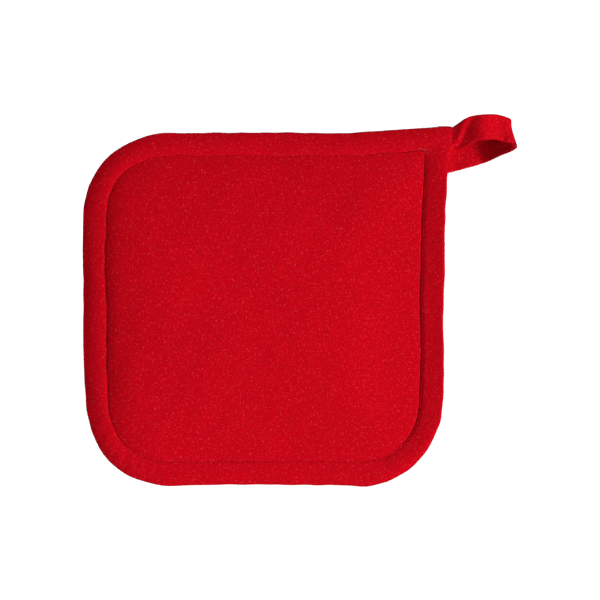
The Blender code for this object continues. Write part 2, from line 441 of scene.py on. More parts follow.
# How closely the faces are followed, in from the seam.
FIRST_ROW = 0.22 * MM
ROW_GROWTH = 1.16
INNERMOST_ROW = 0.5 * MM
WIDEST_ROW = 1.5 * MM
ROWS_UNDER_BINDING = 5

STITCH_PITCH = 3.0 * MM
PUCKER_DEPTH = 0.10 * MM
PUCKER_REACH = 1.6 * MM
PUCKER_PITCH = 2.3 * STITCH_PITCH
PUCKER_RADIUS = 105 * MM  # turns the angle round the pad into a length of seam


def unridged(x, y, inside):
    """Distances in from the seam, without the ridge that they have on a corner's diagonal."""
    around = np.zeros_like(inside)
    for turn in range(8):
        angle = turn * math.pi / 4
        shifted = inset_at(x + RIDGE_REACH * math.cos(angle), y + RIDGE_REACH * math.sin(angle))
        around += np.maximum(shifted - SEAM_INSET, 0.0) / 8
    return mix(inside, around, smooth((inside - RIDGE_START) / RIDGE_FADE))


def front_rise(x, y):
    """How far the front face stands above its pressed edge."""
    inset = inset_at(x, y)
    inside = unridged(x, y, np.maximum(inset - SEAM_INSET, 0.0))
    swell = mix(looked_up(swell_front, x, y), 1.0, np.exp(-inside / SWELL_FROM_SEAM))
    slack = np.exp(-inside / SLACK_REACH) * uneven(0.45 * x + 0.3 * y, y - 0.5 * x, SLACK_WRINKLES)
    lumps = uneven(x, y, *FRONT_LUMPS) + slack
    full = FULL_RISE * FRONT_LOFT * swell + FRONT_LEAN * x / PAD_WIDTH + lumps
    step = by_place(x, y, STEP, STEP_SHARPNESS)
    step_start = by_place(x, y, STEP_START, STEP_SHARPNESS)
    step_width = by_place(x, y, STEP_WIDTH, STEP_SHARPNESS)
    turn = inside / by_place(x, y, EASE)
    slope = 1 - np.exp(-turn - EASE_HURRY * turn**2)
    return step * smooth((inset - step_start) / step_width) + (full - step) * slope


def back_rise(x, y):
    """How far the back face stands below its pressed edge, flat where it rests on the table."""
    inside = np.maximum(inset_at(x, y) - SEAM_INSET, 0.0)
    share = 1 - np.exp(-inside / BACK_EASE)
    free = (FULL_RISE * BACK_LOFT * looked_up(swell_back, x, y) + uneven(x, y, BACK_LUMPS)) * share
    most = EDGE_Z - PRESSED_HALF - TABLE_GAP
    return np.minimum(free, most - BACK_CUPPING * (1 - share))


def face_plan():
    """Rows of plan points from the middle of the pad out to the cut edges, finest beside the seam."""
    seam = outline(SEAM_INSET)
    reach = PAD_HEIGHT / 2 - SEAM_INSET
    distances, distance, step = [], 0.0, FIRST_ROW
    while distance < reach - INNERMOST_ROW:
        distances.append(distance)
        distance += step
        step = min(step * ROW_GROWTH, WIDEST_ROW)
    rows = [seam * (1 - distance / reach) for distance in reversed(distances)]
    for inset in np.linspace(SEAM_INSET, CUT_INSET, ROWS_UNDER_BINDING)[1:]:
        rows.append(outline(inset))
    return np.array(rows)


def layer(name, upper, lower, surface, slot):
    """A closed layer of the pad between two heights, each a function of plan points."""
    plan = face_plan()
    rows = np.concatenate([lifted(plan, upper(plan)), lifted(plan, lower(plan))[::-1]])
    flat = np.concatenate([plan, plan[::-1]]).reshape(-1, 2)
    faces = capped_tube(rows)
    uvs = flat[np.concatenate([np.asarray(face) for face in faces])]
    return piece(name, rows, faces, uvs, surface)


def pucker(plan):
    """Small dips where the stitches draw the panel down beside the seam."""
    x, y = plan[..., 0], plan[..., 1]
    arc = np.arctan2(y, x) * PUCKER_RADIUS
    near = np.exp(-np.maximum(inset_at(x, y) - SEAM_INSET, 0.0) / PUCKER_REACH)
    strength = 0.5 + 0.5 * ripple(x, y, 22 * MM, 41)
    return PUCKER_DEPTH * near * strength * np.sin(2 * math.pi * arc / PUCKER_PITCH)


def front_top(plan):
    """The height of the front cloth's outer face."""
    return EDGE_Z + PRESSED_HALF + front_rise(plan[..., 0], plan[..., 1]) + pucker(plan)


def back_bottom(plan):
    """The height of the back cloth's outer face."""
    return EDGE_Z - PRESSED_HALF - back_rise(plan[..., 0], plan[..., 1])


def middle_height(plan):
    """The dividing surface between the two layers of wadding."""
    x, y = plan[..., 0], plan[..., 1]
    inside = smooth((inset_at(x, y) - SEAM_INSET) / MIDDLE_EASE)
    return EDGE_Z + uneven(x, y, MIDDLE_LUMPS) * inside


def raised(height, rise):
    """The height function raised by rise."""
    return lambda plan: height(plan) + rise


# ---- the binding

PLY = 0.6 * MM
FOLD_REACH = 0.45 * MM  # how far in the tight outer fold turns over
LIP_RADIUS = PLY / 2

# The tape's front leg on each side, and last at the loop's corner: how high the fold stands, how high the
# crest of its roll is and how far in, how high the sewn lip is, how late the tape falls to it, and how much
# the lip rolls under.
FRONT_LEG = {
    "shoulder": mm(0.9, 5.1, 1.6, 1.5, 2.8),
    "crest": mm(3.8, 5.3, 3.1, 3.0, 3.1),
    "crest_at": mm(11, 1.2, 8, 6, 3.5),
    "lip": mm(3.6, 3.2, 2.8, 2.85, 2.7),
    "drop": (2.4, 1.05, 2.5, 2.5, 3.0),
    "roll": mm(0, 0.6, 0.15, 0.1, 0.3),
}
BACK_LEG = dict(shoulder=1.9 * MM, crest=3 * MM, crest_at=6.5 * MM, lip=2.45 * MM, drop=2.5, roll=0.0)
LEG_BLEND = 10 * MM  # the sides ease into each other over this length of edge
LEG_CORNER_REACH = 18 * MM  # and the loop's corner counts over this one
ROLL_FROM = 0.84  # the lip rolls under in the tape's last share

GATHER_PITCH = 7.5 * MM
GATHER_SLANT = 16 * MM  # a gather leans by one pitch over this much of the tape's width
GATHER_WANDER = 2.2  # radians
GATHER_IN_BEND = 0.12 * MM
GATHER_EVERYWHERE = 0.03 * MM
TAPE_LUMPS = 0.10 * MM

# How the tape's section is followed: from its fold to its lip, round that and back along its inner face,
# whose last points close in on the fold's middle, given as (inset, share of the height).
FOLD_ANGLES = (0, 20, 40, 60, 80)
LEG_ROWS = 20
LIP_ANGLES = (60, 30, 0, -30, -60)
INNER_ROWS = 8
INNER_END = 2.4 * MM
INNER_FOLD = ((1.7 * MM, 0.86), (1.2 * MM, 0.6), (0.9 * MM, 0.3))


def tape_height(inset, leg):
    """The binding's outer face over the pressed edge's middle: a tight fold, a roll up to its crest, and a
    fall to the lip that is sewn down."""
    turn = np.clip(inset / FOLD_REACH, 0, 1)
    fold = leg["shoulder"] * np.sqrt(np.maximum(1 - (1 - turn) ** 2, 0))
    climb = np.clip((inset - FOLD_REACH) / (leg["crest_at"] - FOLD_REACH), 0, 1)
    up = (leg["crest"] - leg["shoulder"]) * climb * (2 - climb)
    fall = np.clip((inset - leg["crest_at"]) / (BINDING_WIDTH - leg["crest_at"]), 0, 1) ** leg["drop"]
    return fold + up + (leg["lip"] - leg["crest"]) * fall


def edge_facing():
    """The way the outline faces at each of its points, and the distance along it, back to the first point."""
    outer, inner = outline(0.0), outline(1 * MM)
    return unit(outer - inner), reached(np.concatenate([outer, outer[:1]]))


def in_bend():
    """1 round the three wide corners and 0 along the sides, for each outline point."""
    marks = []
    for turn, steps in enumerate(SIDE_STEPS):
        corner = LOOP_CORNER_STEPS if turn == 0 else CORNER_STEPS
        bend = np.sin(math.pi * np.arange(corner + 1) / corner) ** 0.5 if turn else np.zeros(corner + 1)
        marks += [bend, np.zeros(steps - 1)]
    return np.concatenate(marks)


def faired(values, at_loop, arc):
    """Values round the outline, eased into each other and turned to at_loop round the loop's corner."""
    length = arc[-1]
    apart = np.abs(arc[:-1, None] - arc[None, :-1])
    apart = np.minimum(apart, length - apart)
    bell = np.exp(-((apart / LEG_BLEND) ** 2))
    eased = (bell @ values) / bell.sum(1)
    from_corner = np.minimum(arc[:-1], length - arc[:-1])
    return mix(eased, at_loop, np.exp(-((from_corner / LEG_CORNER_REACH) ** 2)))


def leg_height(inset, side, leg, distance, bend):
    """The outer face of one leg of the tape all round the pad, with its gathers and lumps."""
    share = inset / BINDING_WIDTH
    body = math.sin(math.pi * min(share, 1.0)) ** 0.7
    slant = 2 * math.pi * inset / GATHER_SLANT
    wander = GATHER_WANDER * ripple(distance, side * 0.1, 33 * MM, 61)
    gathers = np.sin(2 * math.pi * distance / GATHER_PITCH + slant + wander)
    height = tape_height(inset, leg) - leg["roll"] * smooth((share - ROLL_FROM) / (1 - ROLL_FROM))
    height = height + body * (GATHER_IN_BEND * bend + GATHER_EVERYWHERE) * gathers
    return height + body * uneven(distance, inset, (TAPE_LUMPS, 24 * MM, 62 + side))


def binding_faces(side):
    """Rows of (inset, height over the edge's middle) for one side's outer face, lip and inner face."""
    facing, arc = edge_facing()
    distance, bend = arc[:-1], in_bend()
    leg = BACK_LEG
    if side > 0:
        leg = {}
        for what, (*sides, at_loop) in FRONT_LEG.items():
            leg[what] = faired(by_facing(facing[:, 0], facing[:, 1], sides), at_loop, arc)

    def outer(inset):
        return leg_height(inset, side, leg, distance, bend)

    lip_inset = BINDING_WIDTH - LIP_RADIUS
    lip_middle = outer(lip_inset) - LIP_RADIUS
    insets = [FOLD_REACH * (1 - math.cos(math.radians(angle))) for angle in FOLD_ANGLES]
    insets += list(np.linspace(FOLD_REACH, lip_inset, LEG_ROWS))
    rows = [(inset, outer(inset)) for inset in insets]
    for angle in map(math.radians, LIP_ANGLES):
        rows.append((lip_inset + LIP_RADIUS * math.cos(angle), lip_middle + LIP_RADIUS * math.sin(angle)))
    rows += [(inset, outer(inset) - PLY) for inset in np.linspace(lip_inset, INNER_END, INNER_ROWS)]
    rows += [(inset, (outer(INNER_END) - PLY) * share) for inset, share in INNER_FOLD]
    return rows


def bound_edge(surface):
    """The tape folded round the pad's edge, as one ring."""
    front, back = binding_faces(1), binding_faces(-1)
    path = [(inset, height, 1) for inset, height in front]
    path += [(PLY, np.zeros_like(front[0][1]), 1)]
    path += [(inset, height, -1) for inset, height in reversed(back[1:])]
    rows = np.array([lifted(outline(float(inset)), EDGE_Z + side * heights) for inset, heights, side in path])
    faces, corner_rows, corner_columns = grid_faces(*rows.shape[:2], wrap_rows=True, wrap_columns=True)
    _, arc = edge_facing()
    steps = np.linalg.norm(np.diff(np.concatenate([rows, rows[:1]]), axis=0), axis=2).mean(1)
    across = np.concatenate([[0.0], np.cumsum(steps)])
    uvs = np.stack([arc[corner_columns], across[corner_rows]], -1)
    return piece("bound_edge", rows, faces, uvs, surface)


# ---- threads

THREAD_RADIUS = 0.16 * MM
THREAD_SIDES = 6
THREAD_UV = (0.4 * MM, 0.2 * MM)  # a thread's UVs grow by this much a ring and a side
STITCH_JITTER = 0.08 * MM
STITCH_SINK = 0.34 * MM
SEAM_CLEARANCE = 0.10 * MM  # the stitches lie this far in from the seam, and this far off the cloth


def tube(centres, radii):
    """Points and faces of a closed tube through the centres."""
    ahead = unit(np.gradient(centres, axis=0))
    helper = np.where(np.abs(ahead[:, 2:3]) > 0.9, [[1.0, 0, 0]], [[0, 0, 1.0]])
    aside = unit(np.cross(ahead, helper))
    above = np.cross(aside, ahead)
    angles = (2 * math.pi * np.arange(THREAD_SIDES) / THREAD_SIDES)[None, :, None]
    spokes = np.cos(angles) * aside[:, None] + np.sin(angles) * above[:, None]
    rings = centres[:, None] + radii[:, None, None] * spokes
    return rings.reshape(-1, 3), capped_tube(rings)


def threads(name, runs, surface):
    """One piece made of many short tubes; runs is a list of (centres, radii)."""
    points, faces, uvs = [], [], []
    base = 0
    for centres, radii in runs:
        made, sewn = tube(centres, radii)
        along = np.repeat(np.arange(len(centres)), THREAD_SIDES) * THREAD_UV[0]
        around = np.tile(np.arange(THREAD_SIDES), len(centres)) * THREAD_UV[1]
        for face in sewn:
            faces.append([base + corner for corner in face])
            uvs += [(along[corner], around[corner]) for corner in face]
        points.append(made)
        base += len(made)
    return piece(name, np.concatenate(points), faces, uvs, surface)


def read_along(values, distances_at, distances):
    """Values given at a polyline's points, read at distances along it."""
    return np.stack([np.interp(distances, distances_at, values[:, axis]) for axis in range(3)], -1)


def stitches(path, normals, pitch, seed, radius=THREAD_RADIUS):
    """Stitches laid end to end along a path, each sinking into the cloth at both ends."""
    chance = np.random.default_rng(seed)
    distances_at = reached(path)
    shares = np.linspace(0.04, 0.96, 7)
    from_middle = np.abs(2 * shares - 1)
    runs = []
    for index in range(int(distances_at[-1] / pitch)):
        distances = index * pitch + chance.normal(0, STITCH_JITTER) + pitch * shares
        up = read_along(normals, distances_at, distances)
        centres = read_along(path, distances_at, distances) - up * (STITCH_SINK * from_middle**4)[:, None]
        runs.append((centres, radius * (1 - 0.35 * from_middle**3)))
    return runs


def seam_path(side):
    """The line of the binding seam, closed, on one face of the pad, with the way that face looks."""
    plan = outline(SEAM_INSET + SEAM_CLEARANCE)
    z = np.full(len(plan), EDGE_Z + side * (PRESSED_HALF + SEAM_CLEARANCE))
    if side > 0:
        z += front_rise(plan[:, 0], plan[:, 1])
    points = lifted(plan, z)
    points = np.concatenate([points, points[:1]])
    return points, np.tile([0.0, 0.0, float(side)], (len(points), 1))


# ---- the hanging loop

hinge = Vector(frame["joints"][0]["pos_m"])
TAPE_WIDTH = 12 * MM
TAPE_THICKNESS = 1.2 * MM
FULL_WIDTH = 13.4 * MM  # the tape fluffed out beyond its folded width
FULLER_MIDDLE = 0.18  # how much thicker the tape is in the middle of its width
UPPER_ROOT_Y = PAD_HEIGHT / 2 + EAR_RISE - TAPE_WIDTH / 2
LOWER_ROOT_Y = UPPER_ROOT_Y - TAPE_WIDTH - 0.3 * MM
ROOT_TUCK = 5 * MM  # how far the upper strand runs back inside the binding
ROOT_ROWS = 4
LOWER_TUCK = 3 * MM  # and the lower one
LOWER_TUCK_ROWS = 2
TAIL_ROWS = 12
TAIL_FIT = 0.96  # the sewn end's thickness, as a share of the CAD solid's
TAIL_LUMPS = (0.05 * MM, 6 * MM, 91)

# The route down the middle of the tape, seen from the side.
LOOP_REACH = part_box("hanging_loop")[1].x - hinge.x - 1.6 * MM
LOOP_CREST = 12.2 * MM
CREST_AT = 0.62  # where the upper strand is highest, as a share of its run
BIGHT_HEIGHT = 6.6 * MM
LOWER_HEIGHT = 1.4 * MM
LOWER_RAMP = 0.6  # the share of its run in which the lower strand comes down to that
LOOP_RUN_STEPS = 44
LOOP_BIGHT_STEPS = 26
SMOOTHING_PASSES = 14

# And seen from above.
LOOP_SWAY = 10 * MM
SWAY_EARLY = 0.6  # below 1, the loop swings furthest nearer its upper root
SWAY_DELAY = 11 * MM  # how far the upper strand runs straight out of the corner before it swings
STRANDS_CLOSE = 1.2 * MM  # how far the upper strand sags down the pad and the lower one up it
BIGHT_TILT = 0.18  # the slope at which the tape leans sideways at the bight

# How the tape itself lies along that route.
ROOT_PLATEAU = 1.7 * MM  # the upper root stands level with the binding
CREASE_AT = 8.0 * MM  # and drops at a crease this far along the tape
CREASE_SLANT = 1.25  # how much nearer the root it is, for each length across
CREASE_HALF = 0.9 * MM
CREASE_RIDGE = 0.25 * MM
BUCKLES = (0.35 * MM, 17 * MM, 71)
EDGE_WAVES = (0.5 * MM, 13 * MM, 72)
LOWER_BANK = math.tan(math.radians(18))  # the slope of the lower strand's lean, its outer edge raised
BIGHT_BANK = math.tan(math.radians(45))  # and its lean next to the bight
LOWER_LIFT = 1.6 * MM
BIGHT_BELLY = 1.2 * MM  # the bight stands out in the middle of its width
BIGHT_CORNER = 1.4 * MM  # and its upper corner stays back
EDGE_STITCH_INSET = 1.2 * MM
EDGE_THREAD_RADIUS = 0.14 * MM
EDGE_THREAD_HEIGHT = 1.02  # in halves of the tape's thickness
UNSEWN = 12  # frames at each end of the loop without stitches


def loop_route():
    """Points down the middle of the tape, from the upper root round the bight to the lower root."""
    bight = BIGHT_HEIGHT / 2
    reach = LOOP_REACH - TAPE_THICKNESS / 2 - bight
    high = LOWER_HEIGHT + BIGHT_HEIGHT
    run = np.arange(LOOP_RUN_STEPS) / LOOP_RUN_STEPS
    fall = (LOOP_CREST - high) * smooth((run - CREST_AT) / (1 - CREST_AT))
    upper = [reach * run, mix(EDGE_Z, LOOP_CREST, smooth(run / CREST_AT)) - fall]
    angle = math.pi * (0.5 - np.arange(LOOP_BIGHT_STEPS) / LOOP_BIGHT_STEPS)
    turn = [reach + bight * np.cos(angle), LOWER_HEIGHT + bight * (1 + np.sin(angle))]
    run = np.arange(LOOP_RUN_STEPS, -1, -1) / LOOP_RUN_STEPS
    lower = [reach * run, mix(EDGE_Z, LOWER_HEIGHT, smooth(run / LOWER_RAMP))]
    out, z = np.concatenate([upper, turn, lower], 1)
    share = np.arange(len(out)) / (len(out) - 1)
    sway = LOOP_SWAY * np.sin(math.pi * share**SWAY_EARLY) ** 2
    sway *= mix(smooth((out - 2 * MM) / SWAY_DELAY), 1.0, smooth((share - 0.3) / 0.2))
    y = mix(UPPER_ROOT_Y, LOWER_ROOT_Y, share) + sway - STRANDS_CLOSE * np.sin(2 * math.pi * share)
    return np.stack([hinge.x + out, y, z], -1), share


def loop_frames():
    """(middle, across, outward, share) down the loop's tape, smoothed."""
    route, share = loop_route()
    for _ in range(SMOOTHING_PASSES):
        route[1:-1] = (route[:-2] + 2 * route[1:-1] + route[2:]) / 4
    along = unit(np.gradient(route, axis=0))
    along[0], along[-1] = (1, 0, 0), (-1, 0, 0)
    tilt = BIGHT_TILT * np.sin(math.pi * share)
    across = np.stack([tilt, -np.ones_like(share), np.zeros_like(share)], -1)
    across = unit(across - (across * along).sum(1, keepdims=True) * along)
    return route, across, np.cross(across, along), share


def tape_section(steps=14):
    """(place across the tape, height) round its section, -1 to 1 in both, with rounded folds."""
    flat = [mix(-0.95, 0.95, step / steps) for step in range(steps + 1)]
    fold = ((0.985, 0.72), (1.0, 0.0), (0.985, -0.72))
    ring = [(place, 1.0) for place in flat]
    ring += fold
    ring += [(place, -1.0) for place in reversed(flat)]
    ring += [(-place, -height) for place, height in fold]
    return np.array(ring)


def loop_surface(place, height, frames):
    """A point of the loop's tape at each frame: place across it and height out of it, from -1 to 1."""
    route, across, outward, share = frames
    distance = reached(route)
    arch = np.sin(math.pi * share)
    upper = share < 0.5
    a = place * mix(TAPE_WIDTH, FULL_WIDTH, smooth(arch * 1.6)) / 2

    crease = distance - CREASE_AT + CREASE_SLANT * a
    plateau = ROOT_PLATEAU * (1 - smooth((crease + 0.4 * MM) / (1.6 * MM))) * upper
    ridge = CREASE_RIDGE * np.exp(-((crease / CREASE_HALF) ** 2)) * upper
    half = TAPE_THICKNESS / 2 * (1.0 + FULLER_MIDDLE * (1 - place**2))
    rise = height * half + plateau + ridge + uneven(distance, a, BUCKLES) * arch

    wavy = 1 - np.exp(-(((share - 0.56) / 0.22) ** 2))
    edge_wave = uneven(distance, np.full_like(distance, place * MM), EDGE_WAVES) * wavy * arch

    lower = smooth((share - 0.49) / 0.12) * smooth((1 - share) / 0.15)
    lean = mix(BIGHT_BANK, LOWER_BANK, smooth((share - 0.62) / 0.2))
    bank = lower * (LOWER_LIFT + a * lean + np.maximum(lean - LOWER_BANK, 0) * FULL_WIDTH / 2)
    at_bight = np.exp(-(((share - 0.5) / 0.09) ** 2))
    belly = at_bight * (BIGHT_BELLY * (1 - place**2) + BIGHT_CORNER * (place - 1) / 2)
    spread = (a + edge_wave)[:, None] * across + rise[:, None] * outward
    return route + spread + np.stack([belly, np.zeros_like(belly), bank], -1)


def loop_tape(surface):
    """The tape's tail bent round into a loop, with both ends run back into the binding."""
    frames = loop_frames()
    rows = np.array([loop_surface(place, height, frames) for place, height in tape_section()])
    rows = rows.transpose(1, 0, 2)
    lead = [rows[0] - [back, 0, 0] for back in np.linspace(ROOT_TUCK, 1 * MM, ROOT_ROWS)]
    end = [rows[-1] - [back, 0, 0] for back in np.linspace(1 * MM, LOWER_TUCK, LOWER_TUCK_ROWS)]
    rows = np.concatenate([np.array(lead), rows, np.array(end)])
    count = rows.shape[1]
    _, corner_rows, corner_columns = grid_faces(len(rows), count, wrap_columns=True)
    along = reached(rows.mean(1))
    fullest = rows[len(rows) // 3]
    around = reached(np.concatenate([fullest, fullest[:1]]))
    uvs = np.stack([along[corner_rows], around[corner_columns]], -1).reshape(-1, 2)
    uvs = np.concatenate([uvs, np.zeros((2 * count, 2))])
    return piece("loop_tape", rows, capped_tube(rows), uvs, surface)


def loop_stitches(name, side, surface):
    """The line of stitches that closes the folded tail along its open edge."""
    frames = loop_frames()
    _, _, outward, _ = frames
    place = 1 - 2 * EDGE_STITCH_INSET / TAPE_WIDTH
    path = loop_surface(place, side * EDGE_THREAD_HEIGHT, frames)
    keep = slice(UNSEWN, len(path) - UNSEWN)
    runs = stitches(path[keep], side * outward[keep], STITCH_PITCH, 80 + side, EDGE_THREAD_RADIUS)
    return threads(name, runs, surface)


def loop_tail(surface):
    """The tail's end, sewn flat behind the binding."""
    low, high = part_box("loop_end_tab")
    section = tape_section()
    middle = (low + high) / 2
    half = TAIL_FIT * (high.z - low.z) / 2
    rows = []
    for x in np.linspace(high.x, low.x, TAIL_ROWS):
        y = middle.y + section[:, 0] * TAPE_WIDTH / 2
        z = middle.z + uneven(x, section[:, 0] * MM, TAIL_LUMPS) + section[:, 1] * half
        rows.append(np.stack([np.full(len(section), x), y, z], -1))
    rows = np.array(rows)
    faces = capped_tube(rows)
    flat = rows.reshape(-1, 3)[:, :2]
    uvs = flat[np.concatenate([np.asarray(face) for face in faces])]
    return piece("loop_tail", rows, faces, uvs, surface)


def tail_stitches(surface):
    """A square of stitches through the tail's end."""
    low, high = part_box("tab_thread")
    z = (low.z + high.z) / 2
    corners = [(high.x, high.y), (low.x, high.y), (low.x, low.y), (high.x, low.y), (high.x, high.y)]
    path = np.array([(x, y, z) for x, y in corners])
    down = np.tile([0.0, 0.0, -1.0], (len(path), 1))
    return threads("tail_stitches", stitches(path, down, 2.2 * MM, 95, 0.17 * MM), surface)


# The loose thread ends, as (heading in degrees, length, how high they arch).
THREAD_ENDS = (
    (141, *mm(4.6, 0.9)),
    (104, *mm(1.6, 1.0)),
    (22, *mm(2.4, 0.7)),
    (-72, *mm(2.0, 0.5)),
)
THREAD_END_POINTS = 9
THREAD_END_RADIUS = 0.10 * MM
THREAD_END_FOOT = EDGE_Z + 2.7 * MM


def thread_ends(surface):
    """Loose thread ends where the two runs of the seam meet in the loop's corner."""
    chance = np.random.default_rng(101)
    corner = settled(np.array([PAD_WIDTH / 2 - SEAM_INSET, PAD_HEIGHT / 2 - SEAM_INSET]))
    shares = np.linspace(0, 1, THREAD_END_POINTS)
    runs = []
    for degrees, length, arch in THREAD_ENDS:
        heading = math.radians(degrees) + chance.uniform(-0.5, 0.5) * shares
        out = np.stack([np.cos(heading), np.sin(heading)], -1)
        xy = corner + out * (length * shares)[:, None]
        z = THREAD_END_FOOT + arch * np.sin(math.pi * 0.75 * shares)
        runs.append((np.c_[xy, z], np.full(THREAD_END_POINTS, THREAD_END_RADIUS)))
    return threads("thread_ends", runs, surface)


# ---- materials

RED = (0.58, 0.0006, 0.0078)
# The seam thread's red, painted darker than the cloth's: painted shade of the ditch it lies in, also on the
# tail's stitches.
SHADED_SEAM_THREAD_RED = (0.42, 0.001, 0.007)
EDGE_THREAD_RED = (0.72, 0.006, 0.022)
LOOSE_THREAD_RED = (0.80, 0.06, 0.08)
WADDING_WHITE = (0.95, 0.93, 0.88)
PAPER_WHITE = (0.93, 0.93, 0.93)

YARN_PITCH = 0.46 * MM
YARN_WANDER = 1.1  # how far yarns stray, in yarns
YARN_THICKNESS = 0.55 * MM
YARN_EVENNESS = 4.5 * MM  # the length over which a yarn's shade changes
GRAIN_SCALE = 2000.0  # noise scales are features per metre
FADE_SCALE = 26.0
# The flecks of painted highlight where fuzz catches the light: their thickness, how much they show, and their
# lengths.
FUZZ_HIGHLIGHT_THICKNESS = 0.8 * MM
FUZZ_HIGHLIGHT_MIX = 0.8
FUZZ_HIGHLIGHT_WEFT_LENGTH = 1.3 * MM
FUZZ_HIGHLIGHT_WARP_LENGTH = 1.6 * MM
CLOTH_RELIEF = 0.07 * MM


class Graph:
    """Short calls that add a material's nodes and join them."""

    def __init__(self, name):
        self.material = bpy.data.materials.new(name)
        self.material.use_nodes = True
        self.tree = self.material.node_tree
        self.shader = self.tree.nodes["Principled BSDF"]

    def set(self, node, inputs):
        for key, value in inputs.items():
            if isinstance(value, bpy.types.NodeSocket):
                self.tree.links.new(value, node.inputs[key])
            else:
                node.inputs[key].default_value = value

    def add(self, kind, inputs=None, output=0, **settings):
        node = self.tree.nodes.new(kind)
        for key, value in settings.items():
            setattr(node, key, value)
        self.set(node, inputs or {})
        return node.outputs[output]

    def finished(self, inputs):
        self.set(self.shader, inputs)
        return self.material

    def math(self, operation, first, second=0.0, third=0.0):
        return self.add("ShaderNodeMath", {0: first, 1: second, 2: third}, operation=operation)

    def vector(self, operation, first, second=(0.0, 0.0, 0.0)):
        return self.add("ShaderNodeVectorMath", {0: first, 1: second}, operation=operation)

    def noise(self, place, scale, detail=2.0, roughness=0.5):
        inputs = {"Vector": place, "Scale": scale, "Detail": detail, "Roughness": roughness}
        return self.add("ShaderNodeTexNoise", inputs)

    def band(self, value, low, high):
        """0 below low to 1 above high."""
        inputs = {"Value": value, "From Min": low, "From Max": high}
        return self.add("ShaderNodeMapRange", inputs, interpolation_type="SMOOTHSTEP")

    def scaled(self, value, gain, base):
        return self.math("MULTIPLY_ADD", value, gain, base)

    def blend(self, share, first, second, mode="MIX"):
        node = self.tree.nodes.new("ShaderNodeMix")
        node.data_type = "RGBA"
        node.blend_type = mode
        self.set(node, {0: share, 6: first, 7: second})
        return node.outputs[2]

    def shaded(self, colour, level):
        """The colour, darkened by the level."""
        tint = self.add("ShaderNodeCombineColor", {0: level, 1: level, 2: level})
        return self.blend(1.0, (*colour, 1.0), tint, "MULTIPLY")

    def parts(self, vector):
        node = self.tree.nodes.new("ShaderNodeSeparateXYZ")
        self.set(node, {0: vector})
        return node.outputs[0], node.outputs[1]

    def waves(self, value):
        """The height of a row of half waves: 0 at every multiple of pi."""
        return self.math("ABSOLUTE", self.math("SINE", value))


def weave_height(graph, cloth):
    """A plain weave's relief: in each cell of a chequerboard one yarn passes over the other."""
    yarns = graph.vector("MULTIPLY", cloth, (1 / YARN_PITCH, 1 / YARN_PITCH, 0.0))
    wobble = graph.add("ShaderNodeTexNoise", {"Vector": cloth, "Scale": 420.0, "Detail": 2.0}, output=1)
    wobble = graph.vector("SUBTRACT", wobble, (0.5, 0.5, 0.5))
    wobble = graph.vector("MULTIPLY", wobble, (YARN_WANDER, YARN_WANDER, 0.0))
    u, v = graph.parts(graph.vector("ADD", yarns, wobble))
    over_u = graph.waves(graph.math("MULTIPLY", u, math.pi))
    over_v = graph.waves(graph.math("MULTIPLY", v, math.pi))
    cell = graph.math("ADD", graph.math("FLOOR", u), graph.math("FLOOR", v))
    turn = graph.math("MULTIPLY", graph.math("FRACT", graph.math("MULTIPLY", cell, 0.5)), 2.0)
    warp = graph.math("MULTIPLY", graph.math("POWER", over_u, 0.7), graph.scaled(over_v, 0.5, 0.5))
    weft = graph.math("MULTIPLY", graph.math("POWER", over_v, 0.7), graph.scaled(over_u, 0.5, 0.5))
    return graph.add("ShaderNodeMix", {0: turn, 2: warp, 3: weft})


def streaks(graph, cloth, u_size, v_size):
    """Noise drawn out along the yarns."""
    stretch = (1 / u_size, 1 / v_size, 0.0)
    return graph.noise(graph.vector("MULTIPLY", cloth, stretch), 1.0, detail=2.5, roughness=0.6)


def painted_fuzz_highlights(graph, cloth):
    """Where flecks of painted highlight lie: light caught by fuzz, drawn out along the yarns in short thick
    lengths.
    """
    in_warp = streaks(graph, cloth, FUZZ_HIGHLIGHT_THICKNESS, FUZZ_HIGHLIGHT_WARP_LENGTH)
    in_weft = streaks(graph, cloth, FUZZ_HIGHLIGHT_WEFT_LENGTH, FUZZ_HIGHLIGHT_THICKNESS)
    return graph.math("MAXIMUM", graph.band(in_warp, 0.60, 0.69), graph.band(in_weft, 0.615, 0.705))


